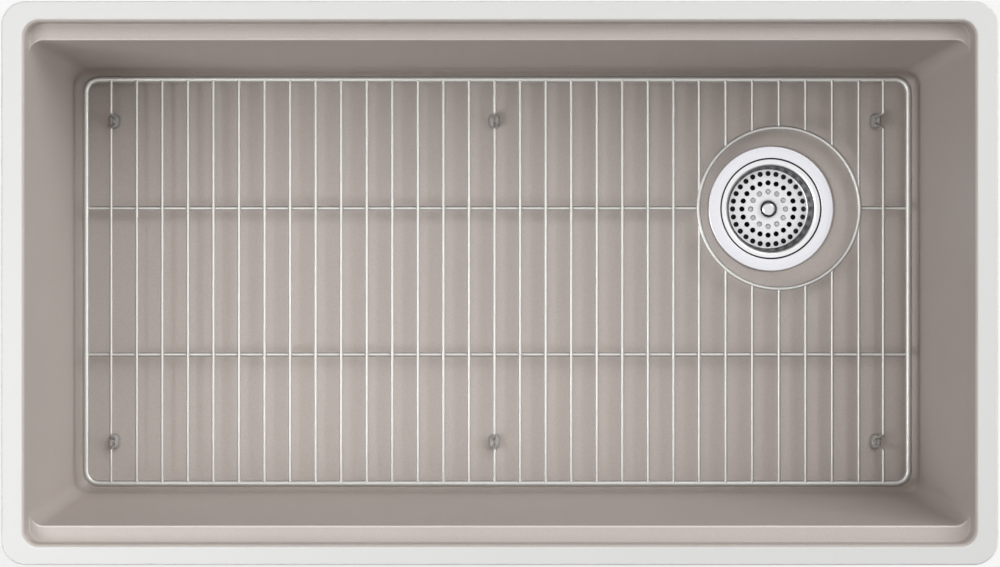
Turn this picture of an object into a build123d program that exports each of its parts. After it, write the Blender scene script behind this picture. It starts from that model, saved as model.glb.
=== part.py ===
from build123d import *
import os
from math import hypot

# Undermount kitchen sink of moulded composite stone, with a wire bottom rack
# and a basket strainer in its drain. All sizes are in millimetres.
# The origin is the centre of the rim's top plane, the face that meets the
# counter. +X runs towards the drain, +Y to the back wall and +Z up.

# Rim
rim_length = 838.0
rim_width = 474.0
rim_thickness = 12.0
rim_corner_radius = 20.5
rim_edge_radius = 1.5

# Bowl, measured inside, with the rim's bands round its mouth and how far its walls lean in
rim_end_band = 19.5
rim_side_band = 17.7
lip_radius = 3.8
end_wall_run = 16.5
side_wall_run = 14.1
bowl_corner_radius = 12.0
floor_fillet_radius = 13.0
basin_depth = 228.6
ledge_depth = 19.0
ledge_width = 13.7
ledge_cove_radius = 1.5
ledge_chamfer = 1.2
ledge_chamfer_slope = 1.0

# Bowl outside
wall_thickness = 10.0
floor_thickness = 10.0
drain_boss_diameter = 150.0
outer_edge_radius = 3.0

# Drain, measured from the floor's right and back edges, with the dished fall
# and the recess round it
drain_end_distance = 133.0
drain_back_distance = 125.2
drain_hole_diameter = 89.0
drain_hole_chamfer = 4.0
recess_diameter = 134.0
recess_floor_diameter = 118.0
recess_depth = 2.4
recess_edge_radius = 20.0
fall_diameter = 216.0
fall_depth = 1.6

# Strainer body
flange_diameter = 114.3
flange_thickness = 1.6
flange_edge_radius = 0.9
seal_thickness = 1.0
seal_margin = 0.9
brim_recess_diameter = 92.0
brim_recess_depth = 2.2
throat_diameter = 82.6
throat_wall = 1.7
throat_edge_radius = 1.6
strainer_wall = 1.6
seat_depth = 42.0
seat_corner_radius = 9.0
outlet_bore = 41.0
outlet_edge_radius = 0.8
outlet_thread_diameter = 47.3
strainer_height = 76.0

# Cross in the outlet
cross_depth = 50.0
cross_height = 4.0
cross_spokes = 4
cross_spoke_width = 2.5
cross_ring_diameter = 14.0
cross_guide_clearance = 1.3

# Basket cup
brim_diameter = 91.5
basket_sheet = 0.8
basket_top_diameter = 79.5
basket_plate_diameter = 75.4
basket_depth = 27.0
basket_bend_radius = 2.4
basket_corner_radius = 1.6
hole_diameter = 4.6
outer_hole_circle = 65.4
outer_hole_count = 28
middle_hole_circle = 48.2
middle_hole_count = 20
inner_hole_circle = 32.0
inner_hole_count = 12

# Knob and post, and what is stacked on the post under the basket
knob_diameter = 16.7
knob_height = 8.6
knob_wall = 2.4
knob_dome_radius = 5.0
knob_edge_radius = 0.8
knob_grip_diameter = 12.4
knob_grip_height = 1.6
post_diameter = 6.0
post_depth = 58.0
post_tip_radius = 1.4
spacer_diameter = 14.0
spacer_height = 1.5
backing_washer_diameter = 40.0
backing_washer_thickness = 1.2
stopper_top_diameter = 38.0
stopper_diameter = 56.0
stopper_lip_height = 3.4
stopper_lip_width = 3.0
stopper_dish_height = 4.0
stopper_hub_diameter = 16.0
post_nut_width = 10.0
post_nut_height = 5.0
post_nut_sides = 6

# Fasteners under the bowl
thread_clearance = 0.1
gasket_diameter = 112.0
gasket_thickness = 3.0
friction_washer_thickness = 1.0
lock_nut_diameter = 102.0
lock_nut_height = 12.0
lock_nut_flange_diameter = 110.0
lock_nut_flange_height = 2.5
lock_nut_lugs = 6
lock_nut_lug_width = 11.0
lock_nut_lug_reach = 6.0
lock_nut_lug_radius = 1.5

# Tailpiece and the nut that holds it
tailpiece_diameter = 38.1
tailpiece_wall = 1.2
tailpiece_length = 101.6
tailpiece_flange_diameter = 45.4
tailpiece_flange_thickness = 2.0
tailpiece_washer_thickness = 2.0
coupling_nut_diameter = 57.0
coupling_nut_thread_height = 14.0
coupling_nut_lip = 3.0
coupling_nut_lip_clearance = 0.7
coupling_nut_edge_radius = 1.5
coupling_nut_ribs = 8
coupling_nut_rib_width = 7.0
coupling_nut_rib_reach = 2.5

# Rack wires, with the frame and the ring measured to the middle of their wire
rack_end_gap = 10.6
rack_side_gap = 8.5
rack_height = 20.0
rack_corner_radius = 12.0
frame_wire = 6.0
rod_wire = 4.0
bar_wire = 3.0
ring_wire = 4.0
ring_diameter = 146.0
ring_shift = 4.9
ring_side_bar_offset = 72.25
end_bar_inset = 23.0
left_gap_count = 23
ring_gap_count = 6
weld_reach = 1.0

# Rack legs and the boots on them
leg_inset = 37.2
leg_top_width = 13.0
leg_bottom_width = 5.2
leg_bend_radius = 2.6
left_leg_lean = 1.0
right_leg_lean = 5.0
boot_sole = 3.0
boot_length = 14.8
boot_width = 11.0
boot_height = 10.0
boot_taper = 6.0
boot_top_radius = 2.4
boot_sole_radius = 1.0
boot_slot_width = 2.2
boot_slot_length = 4.0
boot_slot_depth = 3.0

# Cutters run this far past the faces that they pass through
margin = 1.0
# An edge that rises by less than this is taken as level
level_gap = 0.01

# Levels of the bowl
floor_z = fall_depth - basin_depth
dish_z = -basin_depth
recess_z = dish_z - recess_depth
bowl_bottom_z = floor_z - floor_thickness
boss_bottom_z = recess_z - floor_thickness

# Half sizes of the mouth and of the floor
mouth_half_length = rim_length / 2 - rim_end_band
mouth_half_width = rim_width / 2 - rim_side_band
ledge_inner_half = mouth_half_width - ledge_width
floor_half_length = mouth_half_length - end_wall_run
floor_half_width = ledge_inner_half - side_wall_run

# Walls of the bowl's hollow, each given as its distance from the centre at the
# rim's top plane and what that distance gains with each millimetre of height
end_slope = end_wall_run / -floor_z
side_slope = side_wall_run / (-floor_z - ledge_depth)

end_wall = (mouth_half_length, end_slope)
side_wall = (ledge_inner_half + side_slope * ledge_depth, side_slope)
pocket_wall = (mouth_half_width, 0)
ledge_edge_wall = (
    ledge_inner_half + ledge_chamfer + ledge_chamfer_slope * ledge_depth,
    ledge_chamfer_slope,
)

# Axis of the drain, and the upright plane through it that outlines are drawn on
drain_x = floor_half_length - drain_end_distance
drain_y = floor_half_width - drain_back_distance
drain_axis = Axis((drain_x, drain_y, 0), (0, 0, 1))
drain_section = Plane(origin=(drain_x, drain_y, 0), x_dir=(1, 0, 0), z_dir=(0, -1, 0))


def outer_face(wall):
    """Return a wall of the hollow moved outwards by the wall's thickness."""
    half, slope = wall
    return half + wall_thickness, slope


def walled_block(top_z, bottom_z, ends, sides, corner_radius, bottom_radius=0):
    """Return a block between two heights, with one wall for its ends and one for its sides.

    Its upright corners are rounded, and its bottom edges too where bottom_radius is given.
    """
    with BuildPart() as block:
        for plane, (half, slope), reach, mode in (
            (Plane.XZ, ends, rim_width, Mode.ADD),
            (Plane.YZ, sides, rim_length, Mode.INTERSECT),
        ):
            with BuildSketch(plane):
                with BuildLine():
                    Polyline(
                        (half + slope * top_z, top_z),
                        (half + slope * bottom_z, bottom_z),
                        (-half - slope * bottom_z, bottom_z),
                        (-half - slope * top_z, top_z),
                        close=True,
                    )
                make_face()
            extrude(amount=reach / 2, both=True, mode=mode)
        upright = block.edges().filter_by(lambda edge: edge.bounding_box().size.Z > level_gap)
        fillet(upright, radius=corner_radius)
        if bottom_radius:
            fillet(block.faces().sort_by(Axis.Z)[0].edges(), radius=bottom_radius)
    return block.part


def ring_outline(inner_radius, outer_radius, top_z, bottom_z):
    """Return the outline of a flat ring, for turned."""
    return (
        (inner_radius, top_z),
        (outer_radius, top_z),
        (outer_radius, bottom_z),
        (inner_radius, bottom_z),
    )


def turned(points, rounded=()):
    """Return a builder with an outline of radius and height pairs turned round the drain's axis.

    rounded holds pairs of a point's place in the outline and the radius of its corner.
    """
    with BuildPart() as piece:
        with BuildSketch(drain_section) as section:
            with BuildLine():
                Polyline(*points, close=True)
            make_face()
            for index, radius in rounded:
                fillet(section.vertices().sort_by_distance(points[index])[0], radius=radius)
        revolve(axis=drain_axis)
    return piece


def drain_plane(z):
    """Return the level plane at a height whose origin is on the drain's axis."""
    return Plane(origin=(drain_x, drain_y, z))


# Hollow of the bowl: the tapered basin, the wider pocket above the two ledges,
# and the chamfer along the ledges' inner edges
basin = walled_block(
    margin, floor_z, end_wall, side_wall, bowl_corner_radius, floor_fillet_radius
)
pocket = walled_block(
    margin, -ledge_depth, end_wall, pocket_wall, bowl_corner_radius, ledge_cove_radius
)
ledge_edge = walled_block(
    -ledge_depth,
    -ledge_depth - 2 * bowl_corner_radius,
    end_wall,
    ledge_edge_wall,
    bowl_corner_radius,
)

with BuildPart() as bowl_hollow:
    add(basin)
    add(pocket)
    add(ledge_edge)

# Drain: the dished fall, the recess for the flange and the chamfered hole
hole_radius = drain_hole_diameter / 2
hole_top_radius = hole_radius + drain_hole_chamfer

drain_cut = turned(
    (
        (0, floor_z + margin),
        (fall_diameter / 2, floor_z + margin),
        (fall_diameter / 2, floor_z),
        (recess_diameter / 2, dish_z),
        (recess_floor_diameter / 2, recess_z),
        (hole_top_radius, recess_z),
        (hole_radius, recess_z - drain_hole_chamfer),
        (hole_radius, boss_bottom_z - margin),
        (0, boss_bottom_z - margin),
    ),
    rounded=((3, recess_edge_radius),),
)

# Bowl: the outside stands one wall thickness away from the hollow
outer_corner_radius = bowl_corner_radius + wall_thickness

basin_shell = walled_block(
    0,
    bowl_bottom_z,
    outer_face(end_wall),
    outer_face(side_wall),
    outer_corner_radius,
    outer_corner_radius,
)
pocket_shell = walled_block(
    0,
    -ledge_depth - wall_thickness,
    outer_face(end_wall),
    outer_face(pocket_wall),
    outer_corner_radius,
    outer_edge_radius,
)

with BuildPart() as sink_bowl:
    add(basin_shell)
    add(pocket_shell)
    with BuildSketch():
        RectangleRounded(rim_length, rim_width, rim_corner_radius)
    extrude(amount=-rim_thickness)
    fillet(sink_bowl.faces().sort_by(Axis.Z)[-1].edges(), radius=rim_edge_radius)
    with BuildSketch(drain_plane(boss_bottom_z)):
        Circle(drain_boss_diameter / 2)
    extrude(amount=floor_thickness)
    fillet(sink_bowl.faces().sort_by(Axis.Z)[0].edges(), radius=outer_edge_radius)
    add(bowl_hollow.part, mode=Mode.SUBTRACT)
    mouth = sink_bowl.faces().sort_by(Axis.Z)[-1].inner_wires()[0]
    fillet(mouth.edges(), radius=lip_radius)
    add(drain_cut.part, mode=Mode.SUBTRACT)

# Levels and radii of the strainer body
flange_under_z = recess_z + seal_thickness
flange_z = flange_under_z + flange_thickness
brim_seat_z = flange_z - brim_recess_depth
brim_seat_under_z = brim_seat_z - strainer_wall
seat_z = flange_z - seat_depth
outlet_z = flange_z - strainer_height
brim_recess_radius = brim_recess_diameter / 2
throat_radius = throat_diameter / 2
neck_radius = throat_radius + throat_wall
outlet_bore_radius = outlet_bore / 2
outlet_thread_radius = outlet_thread_diameter / 2

# Strainer body: flange, throat, stopper seat and threaded outlet in one casting
strainer_body = turned(
    (
        (flange_diameter / 2, flange_z),
        (brim_recess_radius, flange_z),
        (brim_recess_radius, brim_seat_z),
        (throat_radius, brim_seat_z),
        (throat_radius, seat_z),
        (outlet_bore_radius, seat_z),
        (outlet_bore_radius, outlet_z),
        (outlet_thread_radius, outlet_z),
        (outlet_thread_radius, seat_z - strainer_wall),
        (neck_radius, seat_z - strainer_wall),
        (neck_radius, brim_seat_under_z),
        (brim_recess_radius + seal_margin, brim_seat_under_z),
        (hole_top_radius, flange_under_z),
        (flange_diameter / 2, flange_under_z),
    ),
    rounded=(
        (0, flange_edge_radius),
        (3, throat_edge_radius),
        (4, seat_corner_radius),
        (5, outlet_edge_radius),
        (9, seat_corner_radius + strainer_wall),
    ),
)

# Seal between the flange and the recess
flange_seal = turned(
    ring_outline(hole_top_radius, flange_diameter / 2 - seal_margin, flange_under_z, recess_z)
)

# Cross in the outlet, whose ring guides the basket's post
post_radius = post_diameter / 2

with BuildPart() as outlet_cross:
    with BuildSketch(drain_plane(flange_z - cross_depth)):
        with PolarLocations(outlet_bore / 4, cross_spokes):
            Rectangle(outlet_bore / 2, cross_spoke_width)
        Circle(outlet_bore_radius, mode=Mode.INTERSECT)
        Circle(cross_ring_diameter / 2)
        Circle(post_radius + cross_guide_clearance, mode=Mode.SUBTRACT)
    extrude(amount=-cross_height)

# Gasket, friction washer and lock nut, which clamp the bowl's floor from below
gasket_z = boss_bottom_z - gasket_thickness
friction_z = gasket_z - friction_washer_thickness
neck_clear_radius = neck_radius + thread_clearance
gasket_radius = gasket_diameter / 2

under_gasket = turned(
    ring_outline(neck_clear_radius, gasket_radius, boss_bottom_z, gasket_z)
)
friction_washer = turned(
    ring_outline(neck_clear_radius, gasket_radius, gasket_z, friction_z)
)

with BuildPart() as lock_nut:
    with BuildSketch(drain_plane(friction_z)):
        Circle(lock_nut_flange_diameter / 2)
    extrude(amount=-lock_nut_flange_height)
    with BuildSketch(drain_plane(friction_z)) as lugs:
        Circle(lock_nut_diameter / 2)
        with PolarLocations(lock_nut_diameter / 2, lock_nut_lugs):
            Rectangle(2 * lock_nut_lug_reach, lock_nut_lug_width)
        lug_corners = lugs.vertices().group_by(lambda corner: Vector(corner).length)[-1]
        fillet(lug_corners, radius=lock_nut_lug_radius)
    extrude(amount=-lock_nut_height)
    with BuildSketch(drain_plane(friction_z)):
        Circle(neck_clear_radius)
    extrude(amount=-lock_nut_height, mode=Mode.SUBTRACT)

# Tailpiece, its washer and its coupling nut
tailpiece_radius = tailpiece_diameter / 2
tailpiece_bore_radius = tailpiece_radius - tailpiece_wall
tailpiece_flange_radius = tailpiece_flange_diameter / 2
tailpiece_z = outlet_z - tailpiece_washer_thickness
tailpiece_under_z = tailpiece_z - tailpiece_flange_thickness
tailpiece_end_z = tailpiece_z - tailpiece_length
coupling_z = outlet_z + coupling_nut_thread_height
coupling_end_z = tailpiece_under_z - coupling_nut_lip
coupling_radius = coupling_nut_diameter / 2
coupling_lip_radius = tailpiece_radius + coupling_nut_lip_clearance
coupling_bore_radius = outlet_thread_radius + thread_clearance

tailpiece_washer = turned(
    ring_outline(tailpiece_bore_radius, tailpiece_flange_radius, outlet_z, tailpiece_z)
)
tailpiece = turned(
    (
        (tailpiece_bore_radius, tailpiece_z),
        (tailpiece_flange_radius, tailpiece_z),
        (tailpiece_flange_radius, tailpiece_under_z),
        (tailpiece_radius, tailpiece_under_z),
        (tailpiece_radius, tailpiece_end_z),
        (tailpiece_bore_radius, tailpiece_end_z),
    )
)
coupling_core = turned(
    (
        (coupling_bore_radius, coupling_z),
        (coupling_radius, coupling_z),
        (coupling_radius, coupling_end_z),
        (coupling_lip_radius, coupling_end_z),
        (coupling_lip_radius, tailpiece_under_z),
        (coupling_bore_radius, tailpiece_under_z),
    ),
    rounded=((1, coupling_nut_edge_radius), (2, coupling_nut_edge_radius)),
)

with BuildPart() as coupling_nut:
    add(coupling_core.part)
    with BuildSketch(drain_plane(coupling_z - coupling_nut_edge_radius)):
        with PolarLocations(coupling_radius, coupling_nut_ribs):
            Rectangle(2 * coupling_nut_rib_reach, coupling_nut_rib_width)
    extrude(amount=coupling_end_z - coupling_z + 2 * coupling_nut_edge_radius)

# Basket cup: one drawn sheet whose brim hangs in the flange's recess
brim_z = brim_seat_z + basket_sheet
plate_z = brim_z - basket_depth
plate_under_z = plate_z - basket_sheet
basket_top_radius = basket_top_diameter / 2
plate_radius = basket_plate_diameter / 2
hole_rings = (
    (outer_hole_circle, outer_hole_count),
    (middle_hole_circle, middle_hole_count),
    (inner_hole_circle, inner_hole_count),
)

drawn_cup = turned(
    (
        (brim_diameter / 2, brim_z),
        (basket_top_radius - basket_sheet, brim_z),
        (plate_radius - basket_sheet, plate_z),
        (0, plate_z),
        (0, plate_under_z),
        (plate_radius, plate_under_z),
        (basket_top_radius, brim_seat_z),
        (brim_diameter / 2, brim_seat_z),
    ),
    rounded=(
        (1, basket_bend_radius + basket_sheet),
        (6, basket_bend_radius),
        (2, basket_corner_radius),
        (5, basket_corner_radius + basket_sheet),
    ),
)

with BuildPart() as basket_cup:
    add(drawn_cup.part)
    with BuildSketch(drain_plane(plate_z)):
        for circle_diameter, count in hole_rings:
            with PolarLocations(circle_diameter / 2, count):
                Circle(hole_diameter / 2)
        Circle(post_radius)
    extrude(amount=-basket_sheet, mode=Mode.SUBTRACT)

# Knob on the plate, and the post that runs from it down to the cross
knob_z = plate_z + knob_height
knob_radius = knob_diameter / 2
grip_radius = knob_grip_diameter / 2
grip_z = plate_z + knob_grip_height
post_z = knob_z - knob_wall
post_end_z = flange_z - post_depth

basket_knob = turned(
    (
        (0, knob_z),
        (knob_radius, knob_z),
        (knob_radius, grip_z),
        (grip_radius, grip_z),
        (grip_radius, plate_z),
        (post_radius, plate_z),
        (post_radius, post_z),
        (0, post_z),
    ),
    rounded=((1, knob_dome_radius), (2, knob_edge_radius)),
)
basket_post = turned(
    ring_outline(0, post_radius, post_z, post_end_z),
    rounded=((2, post_tip_radius),),
)

# Spacer, backing washer, stopper and nut, stacked on the post under the plate
spacer_z = plate_under_z - spacer_height
washer_z = spacer_z - backing_washer_thickness
lip_z = seat_z + stopper_lip_height
dish_top_z = lip_z + stopper_dish_height
stopper_radius = stopper_diameter / 2
lip_inner_radius = stopper_radius - stopper_lip_width

basket_spacer = turned(
    ring_outline(post_radius, spacer_diameter / 2, plate_under_z, spacer_z)
)
backing_washer = turned(
    ring_outline(post_radius, backing_washer_diameter / 2, spacer_z, washer_z)
)
stopper_rubber = turned(
    (
        (post_radius, washer_z),
        (stopper_top_diameter / 2, washer_z),
        (stopper_radius, lip_z),
        (stopper_radius, seat_z),
        (lip_inner_radius, seat_z),
        (lip_inner_radius, lip_z),
        (stopper_hub_diameter / 2, dish_top_z),
        (post_radius, dish_top_z),
    )
)

with BuildPart() as post_nut:
    with BuildSketch(drain_plane(dish_top_z)):
        RegularPolygon(post_nut_width / 2, post_nut_sides, major_radius=False)
        Circle(post_radius, mode=Mode.SUBTRACT)
    extrude(amount=-post_nut_height)

# Levels and places of the rack: the bars lie on the rods, level with the ring,
# and the back rod points at the ring's middle
frame_z = floor_z + rack_height
bar_z = frame_z + (bar_wire + rod_wire) / 4
rod_z = bar_z - (bar_wire + rod_wire) / 2
ring_x = drain_x + ring_shift
ring_plane = Plane(origin=(ring_x, drain_y, bar_z))
frame_half_length = floor_half_length - rack_end_gap
frame_half_width = floor_half_width - rack_side_gap
bar_half = frame_half_width - weld_reach

# Frame: one wire bent round the floor's outline
with BuildPart() as rack_frame:
    with BuildLine(Plane.XY.offset(frame_z)) as frame_path:
        FilletPolyline(
            (frame_half_length, frame_half_width),
            (frame_half_length, -frame_half_width),
            (-frame_half_length, -frame_half_width),
            (-frame_half_length, frame_half_width),
            radius=rack_corner_radius,
            close=True,
        )
    with BuildSketch(Plane(origin=frame_path.line @ 0, z_dir=frame_path.line % 0)):
        Circle(frame_wire / 2)
    sweep(path=frame_path.line)

# Ring round the drain
with BuildPart() as rack_drain_ring:
    with Locations(ring_plane):
        Torus(ring_diameter / 2, ring_wire / 2)

# Cross bars stand evenly up to the ring and a little wider apart over it, and
# the last one is beside the right end of the frame
end_bar_x = frame_half_length - end_bar_inset
ring_field_x = ring_x - ring_side_bar_offset
left_pitch = (ring_field_x + end_bar_x) / left_gap_count
ring_pitch = 2 * ring_side_bar_offset / ring_gap_count
left_bars = [left_pitch * step - end_bar_x for step in range(left_gap_count)]
ring_bars = [ring_field_x + ring_pitch * step for step in range(ring_gap_count + 1)]
middle_leg_x = min(left_bars, key=abs)
plain_bars = [x for x in left_bars[1:] + ring_bars if x != middle_leg_x]

with BuildPart() as rack_cross_bars:
    with BuildSketch(Plane.XZ):
        with Locations(*[(x, bar_z) for x in plain_bars]):
            Circle(bar_wire / 2)
    extrude(amount=bar_half, both=True)
    with BuildSketch(ring_plane):
        Circle((ring_diameter + ring_wire) / 2 - weld_reach)
    extrude(amount=bar_wire, both=True, mode=Mode.SUBTRACT)
    add(rack_drain_ring.part, mode=Mode.SUBTRACT)
    add(rack_frame.part, mode=Mode.SUBTRACT)

# Long rods under the bars; the back one stops under the ring on both sides
with BuildPart() as rack_long_rods:
    with BuildSketch(Plane.YZ):
        with Locations((drain_y, rod_z), (-drain_y, rod_z)):
            Circle(rod_wire / 2)
    extrude(amount=frame_half_length - weld_reach, both=True)
    with BuildSketch(ring_plane):
        Circle(ring_diameter / 2)
    extrude(amount=-2 * rod_wire, mode=Mode.SUBTRACT)
    add(rack_drain_ring.part, mode=Mode.SUBTRACT)
    add(rack_frame.part, mode=Mode.SUBTRACT)

# Bars that dip into two legs each, with how far each pair of legs leans sideways
leg_half = frame_half_width - leg_inset
leg_drop = bar_z - bar_wire / 2 - boot_sole - floor_z
leg_bars = (
    ("left", -end_bar_x, left_leg_lean),
    ("middle", middle_leg_x, 0.0),
    ("right", end_bar_x, -right_leg_lean),
)


def leg_outline(y, slant):
    """Return the four corners of one leg that dips by slant about a place along its bar."""
    return (
        (y - leg_top_width / 2, 0),
        (y - leg_bottom_width / 2, -slant),
        (y + leg_bottom_width / 2, -slant),
        (y + leg_top_width / 2, 0),
    )


def leg_bar(x, lean):
    """Return the bar at x with its two legs, whose bottoms stand lean away from it."""
    slant = hypot(lean, leg_drop)
    bar_plane = Plane(origin=(x, 0, bar_z), x_dir=(0, 1, 0), z_dir=(leg_drop, 0, lean))
    with BuildPart() as bar:
        with BuildLine(bar_plane) as path:
            FilletPolyline(
                (-bar_half, 0),
                *leg_outline(-leg_half, slant),
                *leg_outline(leg_half, slant),
                (bar_half, 0),
                radius=leg_bend_radius,
            )
        with BuildSketch(Plane(origin=path.line @ 0, z_dir=path.line % 0)):
            Circle(bar_wire / 2)
        sweep(path=path.line)
        add(rack_frame.part, mode=Mode.SUBTRACT)
    return bar.part


leg_bar_parts = [leg_bar(x, lean) for side, x, lean in leg_bars]

with BuildPart() as rack_leg_bars:
    add(leg_bar_parts)


def rack_boot(x, y):
    """Return the builder of the rubber boot whose sole stands on the floor at a place."""
    with BuildPart() as boot:
        with BuildSketch(Plane(origin=(x, y, floor_z))):
            SlotOverall(boot_length, boot_width, rotation=90)
        extrude(amount=boot_height, taper=boot_taper)
        fillet(boot.faces().sort_by(Axis.Z)[-1].edges(), radius=boot_top_radius)
        fillet(boot.faces().sort_by(Axis.Z)[0].edges(), radius=boot_sole_radius)
        with BuildSketch(Plane(origin=(x, y, floor_z + boot_height))):
            SlotOverall(boot_slot_length, boot_slot_width, rotation=90)
        extrude(amount=-boot_slot_depth, mode=Mode.SUBTRACT)
        add(rack_leg_bars.part, mode=Mode.SUBTRACT)
    return boot


boots = {
    f"rack_boot_{row}_{side}": rack_boot(x + lean, y)
    for side, x, lean in leg_bars
    for row, y in (("front", -leg_half), ("back", leg_half))
}

pieces = {
    "sink_bowl": sink_bowl,
    "strainer_body": strainer_body,
    "flange_seal": flange_seal,
    "outlet_cross": outlet_cross,
    "under_gasket": under_gasket,
    "friction_washer": friction_washer,
    "lock_nut": lock_nut,
    "tailpiece_washer": tailpiece_washer,
    "tailpiece": tailpiece,
    "coupling_nut": coupling_nut,
    "basket_cup": basket_cup,
    "basket_knob": basket_knob,
    "basket_post": basket_post,
    "basket_spacer": basket_spacer,
    "backing_washer": backing_washer,
    "stopper_rubber": stopper_rubber,
    "post_nut": post_nut,
    "rack_frame": rack_frame,
    "rack_long_rods": rack_long_rods,
    "rack_cross_bars": rack_cross_bars,
    "rack_leg_bars": rack_leg_bars,
    "rack_drain_ring": rack_drain_ring,
    **boots,
}

os.makedirs("parts", exist_ok=True)
for name, piece in pieces.items():
    piece.part.label = name
    export_step(piece.part, f"parts/{name}.step")
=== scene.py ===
"""Looks of the undermount composite sink: bowl, bottom rack, strainer, basket and drain."""

import logging
import math
from dataclasses import dataclass
from enum import Enum
from functools import cache, cached_property
from typing import Iterable, NamedTuple, Union

import bmesh
import bpy
from bmesh.types import BMEdge, BMesh, BMFace, BMVert
from mathutils import Matrix, Vector


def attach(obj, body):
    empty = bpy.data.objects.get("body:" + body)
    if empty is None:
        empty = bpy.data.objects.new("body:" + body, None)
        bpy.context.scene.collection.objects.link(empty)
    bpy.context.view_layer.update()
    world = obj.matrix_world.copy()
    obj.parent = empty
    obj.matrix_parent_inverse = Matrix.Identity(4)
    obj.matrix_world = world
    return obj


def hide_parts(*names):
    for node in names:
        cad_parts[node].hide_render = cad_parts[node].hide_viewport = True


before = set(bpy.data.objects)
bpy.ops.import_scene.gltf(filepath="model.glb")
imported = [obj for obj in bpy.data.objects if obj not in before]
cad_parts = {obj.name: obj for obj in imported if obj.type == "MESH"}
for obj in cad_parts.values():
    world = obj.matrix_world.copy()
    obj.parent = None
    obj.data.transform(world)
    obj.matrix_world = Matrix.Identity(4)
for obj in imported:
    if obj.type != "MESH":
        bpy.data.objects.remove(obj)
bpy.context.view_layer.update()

Socket = bpy.types.NodeSocket
Feed = Union[Socket, float, tuple, Vector]
Spread = tuple[float, float, float]

LOG = logging.getLogger("sink")
MM = 0.001
UP = (0, 0, 1)
# Turns a vector level when it is multiplied by it
LEVEL = (1.0, 1.0, 0.0)
WHITE = (1, 1, 1, 1)
# The drain's axis, the bowl's floor and the rim's outline, in millimetres
DRAIN_X = 250.0
DRAIN_Y = 66.3
FLOOR_Z = -227.0
RIM_HALF_LENGTH = 419.0
RIM_HALF_WIDTH = 237.0
RIM_CORNER = 20.5
# Degrees between two faces from which their edge shows as sharp
SHARP_ANGLE = 38.0
# Points that are nearer to each other than this, in millimetres, become one
MERGE_DISTANCE = 0.002
# Roundings above this radius, in millimetres, get the finer steps
LARGE_ROUNDING = 2.0
COARSE_STEPS = 4
FINE_STEPS = 8
# Steps in one turn of a thread, and the parts of its pitch that its ridge takes up
THREAD_STEPS = 30
THREAD_CREST = 0.4
THREAD_FOOT = 0.8
# Faces round a hole and a bead
HOLE_STEPS = 20
BEAD_STEPS = 10
BEAD_ROWS = 6
# Faces round the rack's wires, from thick to thin
THICK_SIDES = 20
ROD_SIDES = 16
BAR_SIDES = 12


class Body(Enum):
    """The moving bodies of the sink."""

    SINK = "sink"
    RACK = "rack"
    BASKET = "basket"


class Grain(Enum):
    """The run of the fine marks that working a metal leaves in it."""

    EVEN = "even"
    TURNED = "turned"


class Corner(NamedTuple):
    """A corner of an outline, in millimetres from its axis and above the rim's top."""

    out: float
    up: float
    round: float = 0.0


class Hole(NamedTuple):
    """A round hole in a flat plate, in millimetres from the plate's middle."""

    x: float
    y: float
    radius: float


# ---- Colours and nodes


def linear(code: str) -> tuple[float, float, float, float]:
    """Turns an sRGB hex colour into the linear colour that a socket takes.

    Args:
        code: Six hex digits after a hash.

    Returns:
        Linear red, green, blue and a full alpha.
    """
    shares = [int(code[start : start + 2], 16) / 255 for start in (1, 3, 5)]
    red, green, blue = (
        share / 12.92 if share <= 0.04045 else ((share + 0.055) / 1.055) ** 2.4
        for share in shares
    )
    return red, green, blue, 1.0


def add_node(
    tree: bpy.types.NodeTree, kind: str, inputs: dict | None = None, **settings: object
) -> bpy.types.Node:
    """Adds a node with its settings, links and socket values.

    Args:
        tree: Node tree that gets the node.
        kind: Blender's type name of the node.
        inputs: Socket name or number to the socket that feeds it, or to its value.
        settings: Properties of the node itself.

    Returns:
        The new node.
    """
    node = tree.nodes.new(kind)
    for name, value in settings.items():
        setattr(node, name, value)
    for key, value in (inputs or {}).items():
        if isinstance(value, Socket):
            tree.links.new(value, node.inputs[key])
        else:
            node.inputs[key].default_value = value
    return node


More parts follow.
